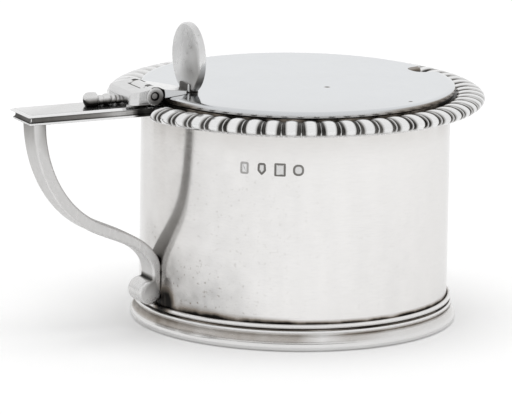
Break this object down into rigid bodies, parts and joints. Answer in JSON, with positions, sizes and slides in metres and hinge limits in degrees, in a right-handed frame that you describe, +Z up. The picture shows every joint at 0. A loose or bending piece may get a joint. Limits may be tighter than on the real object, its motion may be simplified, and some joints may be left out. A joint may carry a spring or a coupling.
{
  "type": "mustard pot",
  "caption": "Drum-shaped silver mustard pot with a flat hinged lid, oval thumbpiece, spoon notch, gadrooned border, reeded foot, scrolled strap handle and a blue glass liner.",
  "frame": {"origin": "middle of the base's underside, on the axis of the round wall", "axes": "+Z up along the wall's axis, -X along the handle, hinge line along Y"},
  "size_m": [0.1114, 0.0856, 0.0695],
  "materials": {
    "silver_polished": "polished silver with light wear",
    "silver_worn": "softly worn silver",
    "liner_glass": "clear blue glass"
  },
  "bodies": {
    "pot": {"body_wall": "silver_polished", "base_plate": "silver_polished", "foot_moulding": "silver_polished", "gadroon_border": "silver_polished", "handle_plate": "silver_polished", "handle_strap": "silver_worn", "handle_tail": "silver_worn", "hinge_block": "silver_polished", "near_knuckle": "silver_polished", "far_knuckle": "silver_polished", "hinge_pin": "silver_worn", "glass_liner": "liner_glass"},
    "lid": {"lid_plate": "silver_polished", "lid_bezel": "silver_polished", "lid_leaf": "silver_polished", "lid_knuckle": "silver_polished", "thumb_block": "silver_worn", "thumbpiece": "silver_worn"}
  },
  "joints": [
    {"name": "lid_hinge", "type": "hinge", "parent": "pot", "child": "lid", "pos_m": [-0.0384, 0, 0.0546], "axis": [0, -1, 0], "range_deg": [0, 95]}
  ]
}
